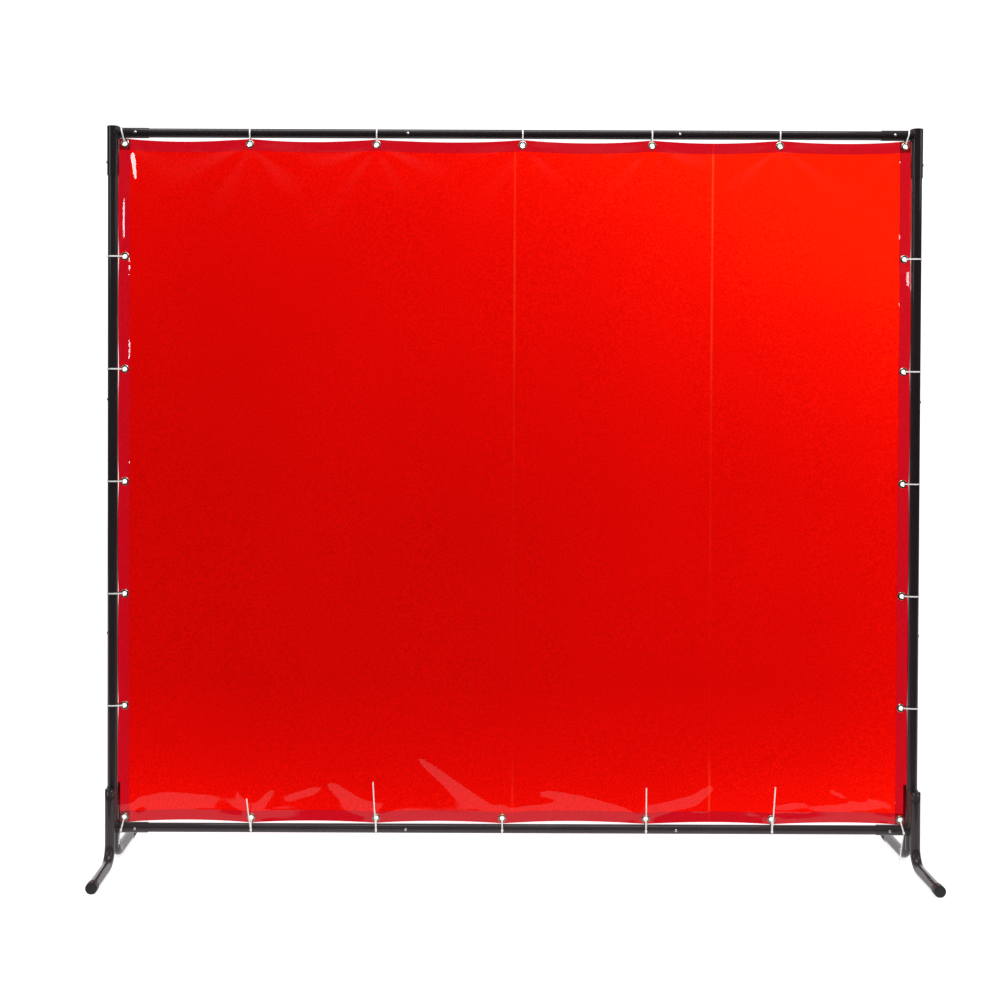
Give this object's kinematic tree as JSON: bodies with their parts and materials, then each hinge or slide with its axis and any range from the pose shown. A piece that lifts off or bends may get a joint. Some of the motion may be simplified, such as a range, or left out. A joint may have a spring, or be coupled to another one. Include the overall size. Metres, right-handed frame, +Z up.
{
  "type": "welding curtain screen",
  "caption": "Free-standing screen: a tinted see-through vinyl curtain with metal eyelets, tied into a knock-down frame of round steel tubes on L-shaped feet.",
  "frame": {"origin": "on the floor under the middle of the frame, midway between the posts and midway between the front and rear feet", "axes": "+X along the rails towards the right post as seen from the front, +Y from the front to the back, +Z up"},
  "size_m": [2.177, 0.469, 1.9733],
  "materials": {
    "frame_coat": "gloss black powder coat",
    "black_plastic": "moulded black",
    "zinc_steel": "zinc-plated spring steel",
    "red_vinyl": "glossy tinted see-through vinyl sheet"
  },
  "bodies": {
    "frame": {"top_rail_left": "frame_coat", "top_rail_middle": "frame_coat", "top_rail_right": "frame_coat", "bottom_rail_left": "frame_coat", "bottom_rail_middle": "frame_coat", "bottom_rail_right": "frame_coat", "post_left_lower": "frame_coat", "post_left_middle": "frame_coat", "post_left_upper": "frame_coat", "post_right_lower": "frame_coat", "post_right_middle": "frame_coat", "post_right_upper": "frame_coat", "top_corner_left": "frame_coat", "top_corner_cap_left": "black_plastic", "foot_socket_left": "frame_coat", "leg_front_left": "frame_coat", "leg_plug_front_left": "black_plastic", "leg_cap_front_left": "black_plastic", "leg_rear_left": "frame_coat", "leg_plug_rear_left": "black_plastic", "leg_cap_rear_left": "black_plastic", "top_corner_right": "frame_coat", "top_corner_cap_right": "black_plastic", "foot_socket_right": "frame_coat", "leg_front_right": "frame_coat", "leg_plug_front_right": "black_plastic", "leg_cap_front_right": "black_plastic", "leg_rear_right": "frame_coat", "leg_plug_rear_right": "black_plastic", "leg_cap_rear_right": "black_plastic", "curtain": "red_vinyl", "spring_bend_top_left": "zinc_steel", "spring_bend_top_right": "zinc_steel", "spring_bend_foot_left": "zinc_steel", "spring_bend_foot_right": "zinc_steel"},
    "button_top_corner_left": {"button_top_corner_left": "zinc_steel"},
    "button_top_corner_right": {"button_top_corner_right": "zinc_steel"},
    "button_top_rail_joint_left": {"button_top_rail_joint_left": "zinc_steel"},
    "button_top_rail_joint_right": {"button_top_rail_joint_right": "zinc_steel"},
    "button_bottom_corner_left": {"button_bottom_corner_left": "zinc_steel"},
    "button_bottom_corner_right": {"button_bottom_corner_right": "zinc_steel"},
    "button_bottom_rail_joint_left": {"button_bottom_rail_joint_left": "zinc_steel"},
    "button_bottom_rail_joint_right": {"button_bottom_rail_joint_right": "zinc_steel"},
    "button_top_left_outer": {"button_top_left_outer": "zinc_steel"},
    "button_top_left_inner": {"button_top_left_inner": "zinc_steel"},
    "button_foot_left_outer": {"button_foot_left_outer": "zinc_steel"},
    "button_foot_left_inner": {"button_foot_left_inner": "zinc_steel"},
    "button_post_joint_left_lower": {"button_post_joint_left_lower": "zinc_steel"},
    "button_post_joint_left_upper": {"button_post_joint_left_upper": "zinc_steel"},
    "button_top_right_outer": {"button_top_right_outer": "zinc_steel"},
    "button_top_right_inner": {"button_top_right_inner": "zinc_steel"},
    "button_foot_right_outer": {"button_foot_right_outer": "zinc_steel"},
    "button_foot_right_inner": {"button_foot_right_inner": "zinc_steel"},
    "button_post_joint_right_lower": {"button_post_joint_right_lower": "zinc_steel"},
    "button_post_joint_right_upper": {"button_post_joint_right_upper": "zinc_steel"}
  },
  "joints": [
    {"name": "press_top_corner_left", "type": "slide", "parent": "frame", "child": "button_top_corner_left", "axis": [0, 1, 0], "range_m": [0, 0.00425], "stiffness_N_per_m": 2500, "springref_m": -0.001},
    {"name": "press_top_corner_right", "type": "slide", "parent": "frame", "child": "button_top_corner_right", "axis": [0, 1, 0], "range_m": [0, 0.00425], "stiffness_N_per_m": 2500, "springref_m": -0.001},
    {"name": "press_top_rail_joint_left", "type": "slide", "parent": "frame", "child": "button_top_rail_joint_left", "axis": [0, 1, 0], "range_m": [0, 0.004], "stiffness_N_per_m": 2500, "springref_m": -0.001},
    {"name": "press_top_rail_joint_right", "type": "slide", "parent": "frame", "child": "button_top_rail_joint_right", "axis": [0, 1, 0], "range_m": [0, 0.004], "stiffness_N_per_m": 2500, "springref_m": -0.001},
    {"name": "press_bottom_corner_left", "type": "slide", "parent": "frame", "child": "button_bottom_corner_left", "axis": [0, 1, 0], "range_m": [0, 0.00425], "stiffness_N_per_m": 2500, "springref_m": -0.001},
    {"name": "press_bottom_corner_right", "type": "slide", "parent": "frame", "child": "button_bottom_corner_right", "axis": [0, 1, 0], "range_m": [0, 0.00425], "stiffness_N_per_m": 2500, "springref_m": -0.001},
    {"name": "press_bottom_rail_joint_left", "type": "slide", "parent": "frame", "child": "button_bottom_rail_joint_left", "axis": [0, 1, 0], "range_m": [0, 0.004], "stiffness_N_per_m": 2500, "springref_m": -0.001},
    {"name": "press_bottom_rail_joint_right", "type": "slide", "parent": "frame", "child": "button_bottom_rail_joint_right", "axis": [0, 1, 0], "range_m": [0, 0.004], "stiffness_N_per_m": 2500, "springref_m": -0.001},
    {"name": "press_top_left_outer", "type": "slide", "parent": "frame", "child": "button_top_left_outer", "axis": [1, 0, 0], "range_m": [0, 0.0045], "stiffness_N_per_m": 2500, "springref_m": -0.001},
    {"name": "press_top_left_inner", "type": "slide", "parent": "frame", "child": "button_top_left_inner", "axis": [-1, 0, 0], "range_m": [0, 0.0045], "stiffness_N_per_m": 2500, "springref_m": -0.001},
    {"name": "press_foot_left_outer", "type": "slide", "parent": "frame", "child": "button_foot_left_outer", "axis": [1, 0, 0], "range_m": [0, 0.0045], "stiffness_N_per_m": 2500, "springref_m": -0.001},
    {"name": "press_foot_left_inner", "type": "slide", "parent": "frame", "child": "button_foot_left_inner", "axis": [-1, 0, 0], "range_m": [0, 0.0045], "stiffness_N_per_m": 2500, "springref_m": -0.001},
    {"name": "press_post_joint_left_lower", "type": "slide", "parent": "frame", "child": "button_post_joint_left_lower", "axis": [1, 0, 0], "range_m": [0, 0.004], "stiffness_N_per_m": 2500, "springref_m": -0.001},
    {"name": "press_post_joint_left_upper", "type": "slide", "parent": "frame", "child": "button_post_joint_left_upper", "axis": [1, 0, 0], "range_m": [0, 0.004], "stiffness_N_per_m": 2500, "springref_m": -0.001},
    {"name": "press_top_right_outer", "type": "slide", "parent": "frame", "child": "button_top_right_outer", "axis": [-1, 0, 0], "range_m": [0, 0.0045], "stiffness_N_per_m": 2500, "springref_m": -0.001},
    {"name": "press_top_right_inner", "type": "slide", "parent": "frame", "child": "button_top_right_inner", "axis": [1, 0, 0], "range_m": [0, 0.0045], "stiffness_N_per_m": 2500, "springref_m": -0.001},
    {"name": "press_foot_right_outer", "type": "slide", "parent": "frame", "child": "button_foot_right_outer", "axis": [-1, 0, 0], "range_m": [0, 0.0045], "stiffness_N_per_m": 2500, "springref_m": -0.001},
    {"name": "press_foot_right_inner", "type": "slide", "parent": "frame", "child": "button_foot_right_inner", "axis": [1, 0, 0], "range_m": [0, 0.0045], "stiffness_N_per_m": 2500, "springref_m": -0.001},
    {"name": "press_post_joint_right_lower", "type": "slide", "parent": "frame", "child": "button_post_joint_right_lower", "axis": [-1, 0, 0], "range_m": [0, 0.004], "stiffness_N_per_m": 2500, "springref_m": -0.001},
    {"name": "press_post_joint_right_upper", "type": "slide", "parent": "frame", "child": "button_post_joint_right_upper", "axis": [-1, 0, 0], "range_m": [0, 0.004], "stiffness_N_per_m": 2500, "springref_m": -0.001}
  ]
}
